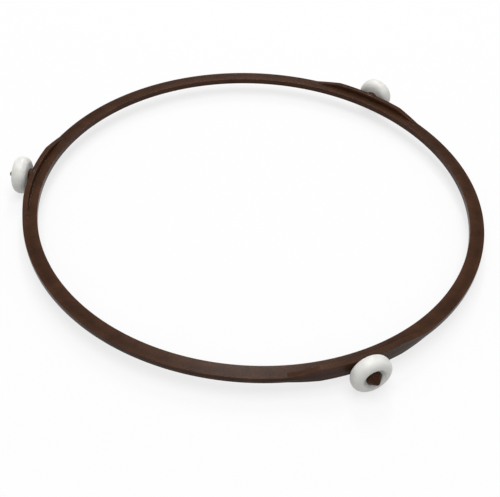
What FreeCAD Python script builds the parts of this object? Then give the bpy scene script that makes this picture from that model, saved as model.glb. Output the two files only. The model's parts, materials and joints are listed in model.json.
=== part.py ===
import FreeCAD, Part
import math
import os

# Microwave roller ring: a moulded plastic ring that carries three rollers on radial pins.
# It lies loose on the oven floor between the glass plate above and the floor track below.
# Millimetres. +Z is up, the origin is on the ring's axis in the plane the rollers stand on.

# Band of the ring
BAND_OUTER_RADIUS = 92.0
BAND_WIDTH = 5.7
BAND_HEIGHT = 2.4
BAND_TOP_ABOVE_PIN = 0.6
EDGE_ROUND = 0.3

# Bosses: stretches where the outer part of the band is taller, above and below
ROLLER_COUNT = 3
FIRST_ROLLER_ANGLE = -90.0
BOSS_WALL = 2.2
BOSS_RISE = 2.2
BOSS_DROP = 1.4
BOSS_LENGTH = 54.0
BOSS_FLAT_LENGTH = 32.0

# Post, pin and snap head, moulded in one with the ring
POST_RADIUS = 3.1
POST_LENGTH = 0.9
POST_ROOT = 0.6
PIN_RADIUS = 2.12
HEAD_RADIUS = 2.95
HEAD_LENGTH = 3.3
HEAD_LAND = 0.5
HEAD_TIP_RADIUS = 1.2
HEAD_UNDER_ROUND = 0.2

# Rollers
ROLLER_RADIUS = 7.6
ROLLER_WIDTH = 5.8
ROLLER_EDGE_RADIUS = 2.5
HUB_RECESS_DEPTH = 1.25
HUB_FLARE = 1.15
HUB_MOUTH_ROUND = 0.6
BORE_CHAMFER = 0.3

# Clearances between ring and rollers
RUNNING_CLEARANCE = 0.08
END_PLAY = 0.25
HEAD_SIDE_GAP = 0.3

# Levels and stations that follow from the sizes above
pin_height = ROLLER_RADIUS
band_top = pin_height + BAND_TOP_ABOVE_PIN
band_bottom = band_top - BAND_HEIGHT
band_inner_radius = BAND_OUTER_RADIUS - BAND_WIDTH
boss_top = band_top + BOSS_RISE
boss_bottom = band_bottom - BOSS_DROP
post_end = BAND_OUTER_RADIUS + POST_LENGTH
roller_inner_face = post_end + END_PLAY
roller_outer_face = roller_inner_face + ROLLER_WIDTH
hub_floor = roller_outer_face - HUB_RECESS_DEPTH
head_base = hub_floor + END_PLAY
head_tip = head_base + HEAD_LENGTH
bore_radius = PIN_RADIUS + RUNNING_CLEARANCE
hub_floor_radius = HEAD_RADIUS + HEAD_SIDE_GAP
hub_mouth_radius = hub_floor_radius + HUB_FLARE
roller_angles = [FIRST_ROLLER_ANGLE + 360.0 * k / ROLLER_COUNT for k in range(ROLLER_COUNT)]

Z_AXIS = FreeCAD.Vector(0, 0, 1)
X_AXIS = FreeCAD.Vector(1, 0, 0)
ORIGIN = FreeCAD.Vector(0, 0, 0)
TOLERANCE = 0.001


def tube(inner_radius, outer_radius, low, high):
    """Upright tube about the ring's axis, with its seam on the far side from +X."""
    base = FreeCAD.Vector(0, 0, low)
    outside = Part.makeCylinder(outer_radius, high - low, base, Z_AXIS)
    wall = outside.cut(Part.makeCylinder(inner_radius, high - low, base, Z_AXIS))
    wall.rotate(ORIGIN, Z_AXIS, 180)
    return wall


def turned(edges):
    """Solid turned about a pin axis along +X, from the edges of a closed profile."""
    face = Part.Face(Part.Wire(edges))
    face.translate(FreeCAD.Vector(0, 0, pin_height))
    return face.revolve(FreeCAD.Vector(0, 0, pin_height), X_AXIS, 360)


def at(outward, height):
    """Point of a profile: outward from the ring's axis along +X, and up or out from the profile's own axis."""
    return FreeCAD.Vector(outward, 0, height)


def line(start, end):
    return Part.LineSegment(start, end).toShape()


def arc(start, middle, end):
    return Part.Arc(start, middle, end).toShape()


def corner(center_outward, center_height, radius, from_angle, to_angle):
    """Arc of a profile about a centre, with its angles in degrees counted from the outward direction."""
    middle_angle = (from_angle + to_angle) / 2.0
    points = []
    for degrees in (from_angle, middle_angle, to_angle):
        turn = math.radians(degrees)
        points.append(at(center_outward + radius * math.cos(turn), center_height + radius * math.sin(turn)))
    return arc(*points)


def boss_wall():
    """Taller wall at one roller: a flat stretch with a ramp at each end, bent along the band."""
    half_flat = BOSS_FLAT_LENGTH / 2.0
    half_length = BOSS_LENGTH / 2.0
    side = [
        (-half_length, band_bottom), (-half_flat, boss_bottom), (half_flat, boss_bottom),
        (half_length, band_bottom), (half_length, band_top), (half_flat, boss_top),
        (-half_flat, boss_top), (-half_length, band_top),
    ]
    points = [FreeCAD.Vector(0, y, z) for y, z in side]
    outline = Part.Face(Part.makePolygon(points + points[:1]))
    slab = outline.extrude(X_AXIS * BAND_OUTER_RADIUS * 2)
    return slab.common(tube(BAND_OUTER_RADIUS - BOSS_WALL, BAND_OUTER_RADIUS, boss_bottom, boss_top))


def post_pin_and_head():
    """Post, pin and snap head of one roller, along +X."""
    root = BAND_OUTER_RADIUS - POST_ROOT
    land_end = head_base + HEAD_LAND
    tip_center = head_tip - HEAD_TIP_RADIUS
    slope = math.atan2(HEAD_RADIUS - HEAD_TIP_RADIUS, tip_center - land_end)
    tip_from = 90.0 - math.degrees(slope)
    taper_end = at(tip_center + HEAD_TIP_RADIUS * math.sin(slope), HEAD_TIP_RADIUS * math.cos(slope))
    under = HEAD_RADIUS - HEAD_UNDER_ROUND
    return turned([
        line(at(root, 0), at(root, POST_RADIUS)),
        line(at(root, POST_RADIUS), at(post_end, POST_RADIUS)),
        line(at(post_end, POST_RADIUS), at(post_end, PIN_RADIUS)),
        line(at(post_end, PIN_RADIUS), at(head_base, PIN_RADIUS)),
        line(at(head_base, PIN_RADIUS), at(head_base, under)),
        corner(head_base + HEAD_UNDER_ROUND, under, HEAD_UNDER_ROUND, 180, 90),
        line(at(head_base + HEAD_UNDER_ROUND, HEAD_RADIUS), at(land_end, HEAD_RADIUS)),
        line(at(land_end, HEAD_RADIUS), taper_end),
        corner(tip_center, 0, HEAD_TIP_RADIUS, tip_from, 0),
        line(at(head_tip, 0), at(root, 0)),
    ])


def band():
    """Flat band with softened rims, turned about the ring's axis."""
    inner = band_inner_radius + EDGE_ROUND
    outer = BAND_OUTER_RADIUS - EDGE_ROUND
    low = band_bottom + EDGE_ROUND
    high = band_top - EDGE_ROUND
    face = Part.Face(Part.Wire([
        line(at(inner, band_bottom), at(outer, band_bottom)),
        corner(outer, low, EDGE_ROUND, -90, 0),
        line(at(BAND_OUTER_RADIUS, low), at(BAND_OUTER_RADIUS, high)),
        corner(outer, high, EDGE_ROUND, 0, 90),
        line(at(outer, band_top), at(inner, band_top)),
        corner(inner, high, EDGE_ROUND, 90, 180),
        line(at(band_inner_radius, high), at(band_inner_radius, low)),
        corner(inner, low, EDGE_ROUND, 180, 270),
    ]))
    return face.revolve(ORIGIN, Z_AXIS, 360)


def carrier_ring():
    """Band, bosses, posts, pins and heads as one moulding."""
    ring = band()
    walls = []
    pins = []
    for angle in roller_angles:
        wall = boss_wall()
        wall.rotate(ORIGIN, Z_AXIS, angle)
        walls.append(wall)
        pin = post_pin_and_head()
        pin.rotate(ORIGIN, Z_AXIS, angle)
        pins.append(pin)
    return ring.fuse(walls + pins).removeSplitter()


def roller():
    """Doughnut-edged roller on the pin along +X, with a dished hub on its outer side."""
    edge_inner = roller_inner_face + ROLLER_EDGE_RADIUS
    edge_outer = roller_outer_face - ROLLER_EDGE_RADIUS
    edge_center = ROLLER_RADIUS - ROLLER_EDGE_RADIUS
    wheel = turned([
        line(at(roller_inner_face + BORE_CHAMFER, bore_radius), at(roller_inner_face, bore_radius + BORE_CHAMFER)),
        line(at(roller_inner_face, bore_radius + BORE_CHAMFER), at(roller_inner_face, edge_center)),
        corner(edge_inner, edge_center, ROLLER_EDGE_RADIUS, 180, 90),
        line(at(edge_inner, ROLLER_RADIUS), at(edge_outer, ROLLER_RADIUS)),
        corner(edge_outer, edge_center, ROLLER_EDGE_RADIUS, 90, 0),
        line(at(roller_outer_face, edge_center), at(roller_outer_face, hub_mouth_radius)),
        line(at(roller_outer_face, hub_mouth_radius), at(hub_floor, hub_floor_radius)),
        line(at(hub_floor, hub_floor_radius), at(hub_floor, bore_radius)),
        line(at(hub_floor, bore_radius), at(roller_inner_face + BORE_CHAMFER, bore_radius)),
    ])
    mouth = FreeCAD.Vector(roller_outer_face, 0, pin_height + hub_mouth_radius)
    rims = [edge for edge in wheel.Edges if edge.isClosed()]
    mouth_rims = [rim for rim in rims if rim.Vertexes[0].Point.distanceToPoint(mouth) < TOLERANCE]
    return wheel.makeFillet(HUB_MOUTH_ROUND, mouth_rims)


os.makedirs("parts", exist_ok=True)
carrier_ring().exportStep("parts/carrier_ring.step")
for number, angle in enumerate(roller_angles, start=1):
    wheel = roller()
    wheel.rotate(ORIGIN, Z_AXIS, angle)
    wheel.exportStep("parts/roller_%d.step" % number)
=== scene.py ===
# %% [markdown]
# # A microwave roller ring
# This lesson dresses a small spare part: a thin brown plastic ring that lies on an oven floor, with three
# white rollers on pins around it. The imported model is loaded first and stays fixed. Everything added here
# is placed from it, in metres, with +Z up and the origin on the ring's axis at floor level.

# %% Load the frame
import json
import math
import bpy
from mathutils import Matrix, Vector


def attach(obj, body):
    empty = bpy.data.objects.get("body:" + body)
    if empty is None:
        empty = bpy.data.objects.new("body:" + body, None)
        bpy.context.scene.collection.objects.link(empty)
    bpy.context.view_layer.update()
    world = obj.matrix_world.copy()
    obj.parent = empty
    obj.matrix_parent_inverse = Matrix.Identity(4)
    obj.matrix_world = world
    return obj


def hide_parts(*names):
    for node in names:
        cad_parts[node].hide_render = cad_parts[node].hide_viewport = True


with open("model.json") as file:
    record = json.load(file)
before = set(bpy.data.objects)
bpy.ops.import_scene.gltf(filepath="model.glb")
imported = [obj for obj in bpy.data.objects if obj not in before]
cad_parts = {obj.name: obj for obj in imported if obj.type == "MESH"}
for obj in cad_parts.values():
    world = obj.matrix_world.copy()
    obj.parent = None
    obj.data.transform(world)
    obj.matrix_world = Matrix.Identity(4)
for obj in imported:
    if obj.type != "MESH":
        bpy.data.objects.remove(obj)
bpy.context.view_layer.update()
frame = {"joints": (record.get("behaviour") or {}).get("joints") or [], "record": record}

MM = 0.001

# %% [markdown]
# ## Where things are
# The frame's joints give the height of the pins and the direction of each one. The band's own sizes are
# written out, because a box can't tell how wide a ring's band is. The outer skin is drawn a hundredth of a
# millimetre inside the solid, so that rounding can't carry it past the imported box.

# %% Sizes of the band
PIN_HEIGHT = frame["joints"][0]["pos_m"][2]
PIN_ANGLES = [math.atan2(joint["axis"][1], joint["axis"][0]) for joint in frame["joints"]]
SKIN_INSET = 0.01 * MM
BAND_OUTER = 92.0 * MM - SKIN_INSET
BAND_WIDTH = 5.7 * MM
BAND_HEIGHT = 2.4 * MM
BAND_TOP_ABOVE_PIN = 0.6 * MM
BAND_TOP = PIN_HEIGHT + BAND_TOP_ABOVE_PIN
BAND_BOTTOM = BAND_TOP - BAND_HEIGHT
BAND_INNER = BAND_OUTER - BAND_WIDTH
pin_degrees = [round(math.degrees(angle)) for angle in PIN_ANGLES]
print("pin height %.1f mm, pins at %s degrees" % (PIN_HEIGHT / MM, pin_degrees))

# %% [markdown]
# ## Boss heights
# At each pin the outer part of the band grows into a taller wall, above and below, with a ramp at both
# ends. A ramp could be a bevel on a box, but the wall bends with the ring, so it is easier to ask for the
# height at any distance along it. The two corners of the ramp are blended, because a mould has no knife
# edges.

# %% Height of a boss along the band
BOSS_WALL = 2.2 * MM
BOSS_RISE = 2.2 * MM
BOSS_DROP = 1.4 * MM
BOSS_HALF_LENGTH = 27.0 * MM
BOSS_HALF_FLAT = 16.0 * MM
RAMP_BLEND = 0.03
WALL_INNER = BAND_OUTER - BOSS_WALL


def above_zero(value, blend):
    """The value where it is positive and zero elsewhere, with a smooth turn of the given half width."""
    if value <= -blend:
        return 0.0
    if value >= blend:
        return value
    return (value + blend) ** 2 / (4.0 * blend)


def boss_share(along):
    """Share of a boss's full height at a distance along the band: 0 on plain band, 1 on the flat."""
    ramp = (BOSS_HALF_LENGTH - abs(along)) / (BOSS_HALF_LENGTH - BOSS_HALF_FLAT)
    return 1.0 - above_zero(1.0 - above_zero(ramp, RAMP_BLEND), RAMP_BLEND)


print("boss share at 0, 16, 21 and 27 mm:", [round(boss_share(d * MM), 2) for d in (0, 16, 21, 27)])

# %% [markdown]
# ## The section of the ring
# One closed section is drawn at every angle round the ring: the flat band with soft rims and, where a boss
# stands, the taller outer wall. The number of points never changes, so neighbouring sections join into clean
# quads. The outer wall carries the mould's parting line, a fine ridge halfway up the band, and stands a
# little further in above and below it, for the draft that lets the part leave the mould.

# %% Section points
RIM_ROUND = 0.22 * MM
FOOT_ROUND = 0.22 * MM
DRAFT = 0.06 * MM
SEAM_HALF = 0.10 * MM
FOOT_SHARE = 0.4
RIM_SHARE = 0.5
RIM_STEPS = 5


def bend(center, radii, from_angle, to_angle, steps=RIM_STEPS):
    """Points of an elliptical arc about a centre in the section's plane, angles in degrees from outward."""
    points = []
    for step in range(steps + 1):
        turn = math.radians(from_angle + (to_angle - from_angle) * step / steps)
        points.append((center[0] + radii[0] * math.cos(turn), center[1] + radii[1] * math.sin(turn)))
    return points


def boss_side(level, height, sign):
    """Top (sign 1) or bottom (sign -1) of the outer wall, from the band's face out to the outer rim."""
    foot = min(FOOT_ROUND, FOOT_SHARE * height)
    rim = min(RIM_ROUND, RIM_SHARE * height)
    crest = level + sign * height
    lean = WALL_INNER + DRAFT
    outer = BAND_OUTER - DRAFT
    points = bend((WALL_INNER - FOOT_ROUND, level + sign * foot), (FOOT_ROUND, foot), -90 * sign, 0)
    points += bend((lean + RIM_ROUND, crest - sign * rim), (RIM_ROUND, rim), 180, 180 - 90 * sign)
    points += bend((outer - RIM_ROUND, crest - sign * RIM_ROUND), (RIM_ROUND, RIM_ROUND), 90 * sign, 0)
    return points


def ring_section(turn):
    """Closed section at an angle, in radians, from the nearest pin: (distance from the axis, height)."""
    share = boss_share(BAND_OUTER * math.sin(turn))
    seam = BAND_OUTER - 0.5 * DRAFT
    points = bend((BAND_INNER + RIM_ROUND, BAND_BOTTOM + RIM_ROUND), (RIM_ROUND, RIM_ROUND), 270, 180)
    points += bend((BAND_INNER + RIM_ROUND, BAND_TOP - RIM_ROUND), (RIM_ROUND, RIM_ROUND), 180, 90)
    points += boss_side(BAND_TOP, share * BOSS_RISE, 1)
    middle = (BAND_TOP + BAND_BOTTOM) / 2
    points += [(seam, middle + 2 * SEAM_HALF), (BAND_OUTER, middle + SEAM_HALF)]
    points += [(BAND_OUTER, middle - SEAM_HALF), (seam, middle - 2 * SEAM_HALF)]
    points += boss_side(BAND_BOTTOM, share * BOSS_DROP, -1)[::-1]
    return points


print("section points:", len(ring_section(0.0)), "on a boss and", len(ring_section(1.0)), "on plain band")

# %% [markdown]
# ## Sweeping the section
# The sections are set close together where a boss bends the shape and further apart on plain band, then
# joined into one closed skin. A screw modifier would make the plain band, but it can't change the section
# on the way, so the skin is written as vertices and faces.

# %% Ring skin
BOSS_SPAN = 20.0
FINE_STEP = 0.25
COARSE_STEP = 1.0
STEP_TOLERANCE = 1e-6


def turns_of_sector():
    """Angles from a pin, in degrees, over its third of the ring."""
    half = 180.0 / len(PIN_ANGLES)
    turns = []
    turn = -half
    while turn < half - STEP_TOLERANCE:
        turns.append(turn)
        turn += FINE_STEP if abs(turn + STEP_TOLERANCE) < BOSS_SPAN else COARSE_STEP
    return turns


def mesh_object(name, vertices, faces):
    """A new smooth-shaded mesh object in the scene."""
    mesh = bpy.data.meshes.new(name)
    mesh.from_pydata(vertices, [], faces)
    mesh.update()
    mesh.polygons.foreach_set("use_smooth", [True] * len(mesh.polygons))
    piece = bpy.data.objects.new(name, mesh)
    bpy.context.scene.collection.objects.link(piece)
    return piece


def swept_ring():
    """The ring without its pins: all sections joined, and the last one joined to the first."""
    vertices = []
    columns = 0
    for pin_angle in sorted(PIN_ANGLES):
        for degrees in turns_of_sector():
            turn = math.radians(degrees)
            angle = pin_angle + turn
            for outward, height in ring_section(turn):
                vertices.append((outward * math.cos(angle), outward * math.sin(angle), height))
            columns += 1
    rows = len(ring_section(0.0))
    faces = []
    for column in range(columns):
        ahead = (column + 1) % columns
        for row in range(rows):
            up = (row + 1) % rows
            faces.append((column * rows + row, column * rows + up, ahead * rows + up, ahead * rows + row))
    return mesh_object("ring_moulding", vertices, faces)


ring = swept_ring()
print("ring skin:", len(ring.data.polygons), "quads")

# %% [markdown]
# ## Posts, pins and snap heads
# Each boss carries a short thick post, a pin that the roller runs on and a bullet-shaped head that was pushed
# through the roller. All three are turned about the pin axis from one outline. They are the same moulding as
# the ring, but a turned outline is easier to draw by itself and join later.

# %% Outline turned about a pin
POST_RADIUS = 3.1 * MM
POST_LENGTH = 0.9 * MM
POST_END = BAND_OUTER + POST_LENGTH
POST_FLARE = 0.5 * MM
POST_SOFT = 0.25 * MM
PIN_RADIUS = 2.12 * MM
END_PLAY = 0.25 * MM
ROLLER_INNER = POST_END + END_PLAY
ROLLER_WIDTH = 5.8 * MM
ROLLER_OUTER = ROLLER_INNER + ROLLER_WIDTH
HUB_DEPTH = 1.25 * MM
HUB_FLOOR = ROLLER_OUTER - HUB_DEPTH
HEAD_BASE = HUB_FLOOR + END_PLAY
HEAD_RADIUS = 2.95 * MM
HEAD_LENGTH = 3.3 * MM
HEAD_LAND = 0.5 * MM
HEAD_TIP = 1.2 * MM
HEAD_SOFT = 0.2 * MM
TIP_STEPS = 10


def turned(outline, pin_angle, steps):
    """Vertices and faces of an outline of (outward, radius) points turned about a pin.

    A point of radius 0 lies on the axis and closes that end.
    """
    along = Vector((math.cos(pin_angle), math.sin(pin_angle), 0.0))
    across = Vector((-math.sin(pin_angle), math.cos(pin_angle), 0.0))
    upward = Vector((0.0, 0.0, 1.0))
    center = Vector((0.0, 0.0, PIN_HEIGHT))
    vertices = []
    rings = []
    for outward, radius in outline:
        count = steps if radius > 0 else 1
        rings.append(range(len(vertices), len(vertices) + count))
        for step in range(count):
            turn = 2 * math.pi * step / steps
            spoke = across * math.cos(turn) + upward * math.sin(turn)
            vertices.append(center + along * outward + spoke * radius)
    faces = []
    for low, high in zip(rings, rings[1:]):
        for step in range(steps):
            ahead = (step + 1) % steps
            low_side = [low[step % len(low)], low[ahead % len(low)]]
            high_side = [high[ahead % len(high)], high[step % len(high)]]
            faces.append(tuple(dict.fromkeys(low_side + high_side)))
    return [tuple(v) for v in vertices], faces


def pin_outline():
    """Half outline from inside the wall to the tip of the snap head."""
    land_end = HEAD_BASE + HEAD_LAND
    tip_center = HEAD_BASE + HEAD_LENGTH - HEAD_TIP
    slope = math.degrees(math.atan2(HEAD_RADIUS - HEAD_TIP, tip_center - land_end))
    root = BAND_OUTER - 0.5 * BOSS_WALL
    outline = [(root, 0.0), (root, POST_RADIUS - POST_FLARE), (BAND_OUTER - POST_FLARE, POST_RADIUS)]
    outline += bend((POST_END - POST_SOFT, POST_RADIUS - POST_SOFT), (POST_SOFT, POST_SOFT), 90, 0)
    outline += [(POST_END, PIN_RADIUS + POST_SOFT), (POST_END + POST_SOFT, PIN_RADIUS)]
    outline += [(HEAD_BASE, PIN_RADIUS)]
    outline += bend((HEAD_BASE + HEAD_SOFT, HEAD_RADIUS - HEAD_SOFT), (HEAD_SOFT, HEAD_SOFT), 180, 90)
    outline += bend((land_end, HEAD_RADIUS - HEAD_LAND), (HEAD_LAND, HEAD_LAND), 90, 90 - slope)
    outline += bend((tip_center, 0.0), (HEAD_TIP, HEAD_TIP), 90 - slope, 0, TIP_STEPS)
    outline[-1] = (HEAD_BASE + HEAD_LENGTH, 0.0)
    return outline


print("pin outline:", len(pin_outline()), "points, tip %.2f mm out" % (pin_outline()[-1][0] / MM))

# %% [markdown]
# ## Joining the pins
# On the real part the pins and the ring leave the mould as one piece. Pins that only overlap the wall would
# look the same, but would leave faces inside it. A boolean union cuts those away. Edges that bend sharply
# stay crisp, and weighted normals keep the flat faces flat under smooth shading.

# %% Join the pins to the ring
PIN_STEPS = 96
RING_SHARP = math.radians(50)


def joined(target, tool):
    """Unite two closed skins and remove the tool."""
    union = target.modifiers.new("union", "BOOLEAN")
    union.operation = "UNION"
    union.solver = "EXACT"
    union.object = tool
    bpy.context.view_layer.update()
    result = bpy.data.meshes.new_from_object(target.evaluated_get(bpy.context.evaluated_depsgraph_get()))
    target.modifiers.clear()
    target.data = result
    bpy.data.objects.remove(tool)


for pin_angle in PIN_ANGLES:
    joined(ring, mesh_object("pin_tool", *turned(pin_outline(), pin_angle, PIN_STEPS)))
ring.data.set_sharp_from_angle(angle=RING_SHARP)
ring.modifiers.new("flat_faces", "WEIGHTED_NORMAL").keep_sharp = True
print("ring with pins:", len(ring.data.vertices), "vertices")

# %% [markdown]
# ## Rollers
# A roller is a small white doughnut of low-friction plastic: a tread rounded into both faces, a flat inner
# face, and a dished hub on the outer side that hides the root of the snap head. A torus would have no hub, so
# it is turned from one closed outline with a bore, and a weld joins the outline's end to its start. The tread
# has the faint line where the mould's halves met.

# %% Roller outline and skin
ROLLER_RADIUS = PIN_HEIGHT - SKIN_INSET
ROLLER_EDGE = 2.5 * MM
TREAD_LINE = 0.04 * MM
TREAD_LINE_HALF = 0.12 * MM
RUNNING_CLEARANCE = 0.08 * MM
BORE = PIN_RADIUS + RUNNING_CLEARANCE
BORE_CHAMFER = 0.3 * MM
HEAD_SIDE_GAP = 0.3 * MM
HUB_FLARE = 1.15 * MM
HUB_FLOOR_RADIUS = HEAD_RADIUS + HEAD_SIDE_GAP
HUB_MOUTH_RADIUS = HUB_FLOOR_RADIUS + HUB_FLARE
HUB_MOUTH_ROUND = 0.6 * MM
HUB_FLOOR_ROUND = 0.35 * MM
ROLLER_STEPS = 144
EDGE_STEPS = 14
FILLET_STEPS = 5
WELD_REACH = 0.001 * MM
ROLLER_SHARP = math.radians(40)


def filleted(before, point, after, radius, steps=FILLET_STEPS):
    """Points that round a corner of an outline with an arc tangent to both of its sides."""
    corner = Vector(point)
    to_before = (Vector(before) - corner).normalized()
    to_after = (Vector(after) - corner).normalized()
    half = to_before.angle(to_after) / 2
    center = corner + (to_before + to_after).normalized() * radius / math.sin(half)
    start = (corner + to_before * radius / math.tan(half) - center).normalized()
    end = (corner + to_after * radius / math.tan(half) - center).normalized()
    return [tuple(center + start.slerp(end, step / steps) * radius) for step in range(steps + 1)]


def roller_outline():
    """Closed outline of (outward, radius) points, from the bore round the tread and back."""
    tread = ROLLER_RADIUS - TREAD_LINE
    edge = tread - ROLLER_EDGE
    middle = (ROLLER_INNER + ROLLER_OUTER) / 2
    inner_edge = ROLLER_INNER + ROLLER_EDGE
    outer_edge = ROLLER_OUTER - ROLLER_EDGE
    face_end = (ROLLER_OUTER, edge)
    mouth = (ROLLER_OUTER, HUB_MOUTH_RADIUS)
    floor_end = (HUB_FLOOR, HUB_FLOOR_RADIUS)
    bore_end = (HUB_FLOOR, BORE)
    outline = [(ROLLER_INNER + BORE_CHAMFER, BORE), (ROLLER_INNER, BORE + BORE_CHAMFER)]
    outline += bend((inner_edge, edge), (ROLLER_EDGE, ROLLER_EDGE), 180, 90, EDGE_STEPS)
    outline += [(middle - TREAD_LINE_HALF, tread), (middle, ROLLER_RADIUS), (middle + TREAD_LINE_HALF, tread)]
    outline += bend((outer_edge, edge), (ROLLER_EDGE, ROLLER_EDGE), 90, 0, EDGE_STEPS)
    outline += filleted(face_end, mouth, floor_end, HUB_MOUTH_ROUND)
    outline += filleted(mouth, floor_end, bore_end, HUB_FLOOR_ROUND)
    outline += [bore_end]
    return outline + outline[:1]


rollers = {}
for joint, pin_angle in zip(frame["joints"], PIN_ANGLES):
    vertices, faces = turned(roller_outline(), pin_angle, ROLLER_STEPS)
    node = frame["record"]["behaviour"]["bodies"][joint["child"]][0]
    roller = mesh_object("white_" + node, vertices, faces)
    rollers[joint["child"]] = roller
    weld = roller.modifiers.new("weld", "WELD")
    weld.merge_threshold = WELD_REACH
    roller.data.set_sharp_from_angle(angle=ROLLER_SHARP)
    roller.modifiers.new("flat_faces", "WEIGHTED_NORMAL").keep_sharp = True
print("rollers:", [(name, len(r.data.vertices)) for name, r in rollers.items()])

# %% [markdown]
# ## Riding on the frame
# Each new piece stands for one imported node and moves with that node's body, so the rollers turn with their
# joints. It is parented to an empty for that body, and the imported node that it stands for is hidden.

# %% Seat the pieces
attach(ring, "ring")
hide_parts("carrier_ring")
for body, roller in rollers.items():
    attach(roller, body)
    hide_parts(frame["record"]["behaviour"]["bodies"][body][0])
print("seated:", ring.name, [r.name for r in rollers.values()])

# %% [markdown]
# ## Colours and nodes
# Colours are written as the hex values a colour picker shows and turned to the linear values that a shader
# works in. One helper adds a node with its settings and its links.

# %% Colour and node helpers


def linear(code):
    """Linear colour with alpha from an sRGB hex code."""
    values = []
    for start in (1, 3, 5):
        part = int(code[start:start + 2], 16) / 255.0
        values.append(part / 12.92 if part <= 0.04045 else ((part + 0.055) / 1.055) ** 2.4)
    return (*values, 1.0)


def add(tree, kind, links=None, values=None, **settings):
    """A new node. Links are {input: (node, output)}, values {input: constant}, settings its properties."""
    made = tree.nodes.new(kind)
    for name, value in settings.items():
        setattr(made, name, value)
    for name, value in (values or {}).items():
        made.inputs[name].default_value = value
    for name, (source, output) in (links or {}).items():
        tree.links.new(source.outputs[output], made.inputs[name])
    return made


def new_material(name):
    """An empty node material with its output node."""
    material = bpy.data.materials.new(name)
    material.use_nodes = True
    material.node_tree.nodes.clear()
    return material, material.node_tree, add(material.node_tree, "ShaderNodeOutputMaterial")


def per_mm(size):
    """Noise scale, in cycles per metre, for a pattern whose grains are this many millimetres across."""
    return 1.0 / (size * MM)


print("helpers ready:", [round(v, 3) for v in linear("#4a3428")])

# %% [markdown]
# ## Brown moulded plastic
# The ring is a heat-resistant polyester plastic, coloured through and moulded in a spark-eroded tool. That
# gives a satin brown with a fine even grain and faint clouds where the melt flowed. Its rims are painted
# paler, partly for wear from handling and partly as a painted highlight where light catches the rounded
# edges. An image could be painted for it, but noise fits any view. The grain of such a tool is about 0.1 mm;
# it is drawn at 0.3 mm so that it shows.

# %% Brown plastic
GRAIN_MM = 0.3
CLOUD_MM = 7.0
BROWN_DARK = linear("#301d12")
BROWN_LIGHT = linear("#42291a")
# Paler rim colour: wear from handling, and a painted highlight on the rounded edges.
BROWN_RUBBED_AND_HIGHLIGHT = linear("#56392a")
NOISE_LOW = 0.3
NOISE_HIGH = 0.7
BROWN_SMOOTHEST = 0.22
BROWN_ROUGHEST = 0.32
GRAIN_STRENGTH = 0.25
GRAIN_DEPTH = 0.02 * MM
POLYESTER_IOR = 1.55
POLYESTER_SHINE = 0.08


def brown_plastic():
    """The ring's satin polyester: clouded brown with a fine grain, its rims paler for wear and a painted
    highlight.
    """
    material, tree, output = new_material("brown_moulded_polyester")
    place = add(tree, "ShaderNodeTexCoord")
    clouds = add(tree, "ShaderNodeTexNoise", {"Vector": (place, "Object")},
                 {"Scale": per_mm(CLOUD_MM), "Detail": 4.0, "Roughness": 0.6})
    grain = add(tree, "ShaderNodeTexNoise", {"Vector": (place, "Object")},
                {"Scale": per_mm(GRAIN_MM), "Detail": 2.0, "Roughness": 0.5})
    tint = add(tree, "ShaderNodeValToRGB", {"Fac": (clouds, "Fac")})
    tint.color_ramp.elements[0].color = BROWN_DARK
    tint.color_ramp.elements[0].position = NOISE_LOW
    tint.color_ramp.elements[1].color = BROWN_LIGHT
    tint.color_ramp.elements[1].position = NOISE_HIGH
    # The rim number mixes in the paler rim colour, partly wear and partly a painted edge highlight.
    rubbed_and_highlight = add(tree, "ShaderNodeAttribute", attribute_name="rim")
    patchy = add(tree, "ShaderNodeMath", {0: (rubbed_and_highlight, "Fac"), 1: (clouds, "Fac")}, operation="MULTIPLY")
    paint = add(tree, "ShaderNodeMix", {"Factor": (patchy, 0), 6: (tint, "Color")}, {7: BROWN_RUBBED_AND_HIGHLIGHT},
                data_type="RGBA")
    satin = add(tree, "ShaderNodeMapRange", {"Value": (grain, "Fac")},
                {"From Min": NOISE_LOW, "From Max": NOISE_HIGH,
                 "To Min": BROWN_SMOOTHEST, "To Max": BROWN_ROUGHEST})
    bump = add(tree, "ShaderNodeBump", {"Height": (grain, "Fac")},
               {"Strength": GRAIN_STRENGTH, "Distance": GRAIN_DEPTH})
    shader = add(tree, "ShaderNodeBsdfPrincipled",
                 {"Base Color": (paint, 2), "Roughness": (satin, 0), "Normal": (bump, 0)},
                 {"IOR": POLYESTER_IOR, "Specular IOR Level": POLYESTER_SHINE})
    tree.links.new(shader.outputs[0], output.inputs["Surface"])
    return material


brown = brown_plastic()
print("brown plastic:", len(brown.node_tree.nodes), "nodes")

# %% [markdown]
# ## Worn rims with a painted highlight
# Handling rubs the rims of a ring first, and their paler colour also stands in for light catching the
# rounded edges, a painted highlight. A pointiness node could find edges by itself, but its result depends
# on how fine the mesh is. Each vertex gets a number instead, from its distance to the nearest rim, and the
# material reads that number.

# %% Mark the ring's rims
RIM_REACH = 0.5 * MM
LOW_BOSS = 0.2


# The rim number says where the paler colour goes: wear, and a painted highlight on the rounded edges.
def rim_wear_and_highlight(point):
    """1 on a rim of the ring, falling to 0 within the rim's reach."""
    outward = math.hypot(point.x, point.y)
    angle = math.atan2(point.y, point.x)
    turn = min(((angle - pin + math.pi) % (2 * math.pi) - math.pi for pin in PIN_ANGLES), key=abs)
    share = boss_share(BAND_OUTER * math.sin(turn))
    top = BAND_TOP + share * BOSS_RISE
    bottom = BAND_BOTTOM - share * BOSS_DROP
    rims = [(BAND_INNER, BAND_TOP), (BAND_INNER, BAND_BOTTOM), (BAND_OUTER, top), (BAND_OUTER, bottom)]
    if share > LOW_BOSS:
        rims += [(WALL_INNER, top), (WALL_INNER, bottom)]
    distance = min(math.hypot(outward - rim[0], point.z - rim[1]) for rim in rims)
    return max(0.0, 1.0 - distance / RIM_REACH)


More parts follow.
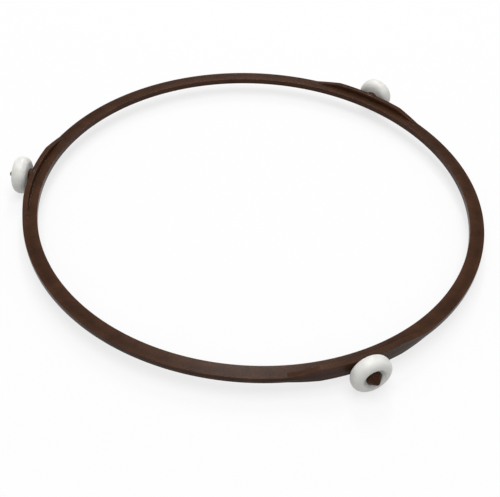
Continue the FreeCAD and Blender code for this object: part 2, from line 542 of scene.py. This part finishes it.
# Store the rim number that paints the rims paler, for wear and as a painted edge highlight.
rim = ring.data.attributes.new("rim", "FLOAT", "POINT")
rim.data.foreach_set("value", [rim_wear_and_highlight(vertex.co) for vertex in ring.data.vertices])
ring.data.materials.clear()
ring.data.materials.append(brown)
print("brown plastic on", ring.name)

# %% [markdown]
# ## White roller plastic
# The rollers are moulded acetal: smooth, waxy and a little translucent, so light softens inside the surface.
# A plain white shader would look like chalk. A low subsurface amount with a millimetre of reach gives the wax
# without losing the white. The unevenness that a polished mould leaves is drawn at 0.35 mm, coarser than it
# is, so that it shows.

# %% White plastic
WAX_MM = 2.5
POLISH_MM = 0.35
ROLLER_WHITE = linear("#e9e9e6")
ROLLER_WARM = linear("#e2e0d9")
WAX_HIGH = 0.6
WHITE_SMOOTHEST = 0.30
WHITE_ROUGHEST = 0.40
POLISH_STRENGTH = 0.12
POLISH_DEPTH = 0.02 * MM
ACETAL_IOR = 1.48
SCATTER_WEIGHT = 0.15
SCATTER_REACH = 1.0 * MM
SCATTER_RED_GREEN_BLUE = (1.0, 0.95, 0.9)


def white_plastic():
    """The rollers' waxy acetal: a slightly uneven white with light scattered just below the skin."""
    material, tree, output = new_material("white_moulded_acetal")
    place = add(tree, "ShaderNodeTexCoord")
    wax = add(tree, "ShaderNodeTexNoise", {"Vector": (place, "Object")},
              {"Scale": per_mm(WAX_MM), "Detail": 3.0, "Roughness": 0.55})
    polish = add(tree, "ShaderNodeTexNoise", {"Vector": (place, "Object")},
                 {"Scale": per_mm(POLISH_MM), "Detail": 2.0, "Roughness": 0.5})
    tint = add(tree, "ShaderNodeValToRGB", {"Fac": (wax, "Fac")})
    tint.color_ramp.elements[0].color = ROLLER_WARM
    tint.color_ramp.elements[0].position = NOISE_LOW
    tint.color_ramp.elements[1].color = ROLLER_WHITE
    tint.color_ramp.elements[1].position = WAX_HIGH
    satin = add(tree, "ShaderNodeMapRange", {"Value": (polish, "Fac")},
                {"From Min": NOISE_LOW, "From Max": NOISE_HIGH,
                 "To Min": WHITE_SMOOTHEST, "To Max": WHITE_ROUGHEST})
    bump = add(tree, "ShaderNodeBump", {"Height": (polish, "Fac")},
               {"Strength": POLISH_STRENGTH, "Distance": POLISH_DEPTH})
    shader = add(tree, "ShaderNodeBsdfPrincipled",
                 {"Base Color": (tint, "Color"), "Roughness": (satin, 0), "Normal": (bump, 0)},
                 {"IOR": ACETAL_IOR, "Subsurface Weight": SCATTER_WEIGHT, "Subsurface Scale": SCATTER_REACH,
                  "Subsurface Radius": SCATTER_RED_GREEN_BLUE})
    tree.links.new(shader.outputs[0], output.inputs["Surface"])
    return material


white = white_plastic()
for roller in rollers.values():
    roller.data.materials.clear()
    roller.data.materials.append(white)
print("white plastic on", len(rollers), "rollers")

# %% [markdown]
# ## Floor
# The part lies on a plain white table that runs out of sight. What the camera and reflections see of it is
# part glow and part lit surface, so that it reads as white paper and still holds a soft shadow, and the glow
# takes over with distance. A plain white floor would throw too much light up at the dark ring, so for all
# other light the floor is grey.

# %% Floor
FLOOR_HALF = 4.0
FLOOR_GLOW = 0.72
FLOOR_NEAR = 0.12
FLOOR_FAR = 0.45
FLOOR_CORNERS = ((-1, -1), (1, -1), (1, 1), (-1, 1))
PAPER_WHITE = linear("#f0f0f0")
BOUNCE_GREY = linear("#b6b6b6")
PURE_WHITE = linear("#ffffff")


def paper_floor():
    """White paper to the camera and to reflections, grey for all other light."""
    material, tree, output = new_material("white_paper")
    path = add(tree, "ShaderNodeLightPath")
    seen = add(tree, "ShaderNodeMath", {0: (path, "Is Camera Ray"), 1: (path, "Is Glossy Ray")},
               operation="MAXIMUM")
    through = add(tree, "ShaderNodeMath", {0: (seen, 0), 1: (path, "Is Transmission Ray")},
                  operation="MAXIMUM")
    place = add(tree, "ShaderNodeTexCoord")
    reach = add(tree, "ShaderNodeVectorMath", {0: (place, "Object")}, operation="LENGTH")
    fade = add(tree, "ShaderNodeMapRange", {"Value": (reach, "Value")},
               {"From Min": FLOOR_NEAR, "From Max": FLOOR_FAR, "To Min": FLOOR_GLOW, "To Max": 1.0})
    lit = add(tree, "ShaderNodeBsdfDiffuse", None, {"Color": PAPER_WHITE})
    glow = add(tree, "ShaderNodeEmission", None, {"Color": PURE_WHITE, "Strength": 1.0})
    paper = add(tree, "ShaderNodeMixShader", {0: (fade, 0), 1: (lit, 0), 2: (glow, 0)})
    bounce = add(tree, "ShaderNodeBsdfDiffuse", None, {"Color": BOUNCE_GREY})
    mix = add(tree, "ShaderNodeMixShader", {0: (through, 0), 1: (bounce, 0), 2: (paper, 0)})
    tree.links.new(mix.outputs[0], output.inputs["Surface"])
    return material


floor_points = [(x * FLOOR_HALF, y * FLOOR_HALF, 0.0) for x, y in FLOOR_CORNERS]
floor = mesh_object("floor", floor_points, [(0, 1, 2, 3)])
floor.data.materials.append(paper_floor())
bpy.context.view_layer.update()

# %% [markdown]
# ## Camera
# The camera was found from the ring's outline and the three rollers in the photograph. It could be moved by
# eye until the pictures agree, but a fit gives its angles, distance and focal length together. The pixel of
# the ring's centre says how far aside the camera stands, so the lens needs no shift.

# %% Camera
VIEW_AZIMUTH = math.radians(-25.74)
VIEW_ELEVATION = math.radians(43.75)
VIEW_ROLL = math.radians(3.03)
VIEW_DISTANCE = 355.7 * MM
FOCAL_PIXELS = 879.2
PHOTO_WIDTH = 500
PHOTO_HEIGHT = 497
RING_CENTER_PIXEL = (254.8, 197.4)
SENSOR_WIDTH = 36.0
CLIP_START = 0.01


def photo_camera():
    """The camera at the photograph's place, and the direction that it looks in."""
    spin = Matrix.Rotation(VIEW_AZIMUTH, 3, "Z")
    forward = spin @ Vector((0.0, math.cos(VIEW_ELEVATION), -math.sin(VIEW_ELEVATION)))
    level = spin @ Vector((1.0, 0.0, 0.0))
    steep = level.cross(forward)
    right = level * math.cos(VIEW_ROLL) + steep * math.sin(VIEW_ROLL)
    upward = steep * math.cos(VIEW_ROLL) - level * math.sin(VIEW_ROLL)
    aside = (RING_CENTER_PIXEL[0] - PHOTO_WIDTH / 2) / FOCAL_PIXELS * VIEW_DISTANCE
    above = (PHOTO_HEIGHT / 2 - RING_CENTER_PIXEL[1]) / FOCAL_PIXELS * VIEW_DISTANCE
    center = Vector((0.0, 0.0, BAND_TOP))
    camera = bpy.data.objects.new("camera", bpy.data.cameras.new("camera"))
    bpy.context.scene.collection.objects.link(camera)
    camera.data.sensor_fit = "HORIZONTAL"
    camera.data.sensor_width = SENSOR_WIDTH
    camera.data.lens = FOCAL_PIXELS / PHOTO_WIDTH * SENSOR_WIDTH
    camera.data.clip_start = CLIP_START
    place = center - right * aside - upward * above - forward * VIEW_DISTANCE
    turn = Matrix((right, upward, -forward)).transposed().to_4x4()
    camera.matrix_world = Matrix.Translation(place) @ turn
    bpy.context.scene.camera = camera
    return camera, forward


camera, forward = photo_camera()
print("camera at", [round(v, 3) for v in camera.location], "lens", round(camera.data.lens, 1))

# %% [markdown]
# ## Lamps
# A photo studio lights a small part with large soft boxes. A wide one overhead gives the level, a weak one on
# the camera's side opens the shadows, and a narrow strip beyond the ring draws the sheen along its flat top.
# Sun lamps would be simpler, but their shadows are hard.

# %% Lamps
OVERHEAD_HEIGHT = 1.2
OVERHEAD_SIZE = (0.9, 0.9)
OVERHEAD_POWER = 9.8
FILL_DISTANCE = -0.9
FILL_HEIGHT = 0.9
FILL_SIZE = (0.8, 0.8)
FILL_POWER = 1.5
STRIP_DISTANCE = 0.80
STRIP_HEIGHT = 0.88
STRIP_SIZE = (0.08, 0.36)
STRIP_POWER = 2.4


def soft_lamp(name, place, size, power):
    """A rectangular lamp at a place, facing the origin."""
    lamp = bpy.data.objects.new(name, bpy.data.lights.new(name, "AREA"))
    lamp.data.shape = "RECTANGLE"
    lamp.data.size = size[0]
    lamp.data.size_y = size[1]
    lamp.data.energy = power
    bpy.context.scene.collection.objects.link(lamp)
    aim = (-Vector(place)).to_track_quat("-Z", "Y").to_matrix().to_4x4()
    lamp.matrix_world = Matrix.Translation(place) @ aim


away = Vector((forward.x, forward.y, 0.0)).normalized()
overhead_place = Vector((0.0, 0.0, OVERHEAD_HEIGHT))
fill_place = away * FILL_DISTANCE + Vector((0.0, 0.0, FILL_HEIGHT))
strip_place = away * STRIP_DISTANCE + Vector((0.0, 0.0, STRIP_HEIGHT))
soft_lamp("overhead", overhead_place, OVERHEAD_SIZE, OVERHEAD_POWER)
soft_lamp("front_fill", fill_place, FILL_SIZE, FILL_POWER)
soft_lamp("back_strip", strip_place, STRIP_SIZE, STRIP_POWER)
print("lamps of", OVERHEAD_POWER, FILL_POWER, "and", STRIP_POWER, "watts")

# %% [markdown]
# ## World
# The room around the part is an even, weak white light. The camera sees the same world as full white, like
# the paper. One brightness for both would leave either the picture grey or the ring washed out.

# %% World
WORLD_LIGHT = 0.36
WORLD_SEEN = 1.0


def studio_world():
    """An even white surround, seen brighter by the camera than it lights."""
    world = bpy.data.worlds.new("studio")
    bpy.context.scene.world = world
    world.use_nodes = True
    tree = world.node_tree
    tree.nodes.clear()
    path = add(tree, "ShaderNodeLightPath")
    plain = add(tree, "ShaderNodeBackground", None, {"Color": PURE_WHITE, "Strength": WORLD_LIGHT})
    paper = add(tree, "ShaderNodeBackground", None, {"Color": PURE_WHITE, "Strength": WORLD_SEEN})
    mix = add(tree, "ShaderNodeMixShader", {0: (path, "Is Camera Ray"), 1: (plain, 0), 2: (paper, 0)})
    output = add(tree, "ShaderNodeOutputWorld")
    tree.links.new(mix.outputs[0], output.inputs["Surface"])


studio_world()
bpy.context.scene.view_settings.view_transform = "Standard"
print("world light", WORLD_LIGHT, "and seen as", WORLD_SEEN)
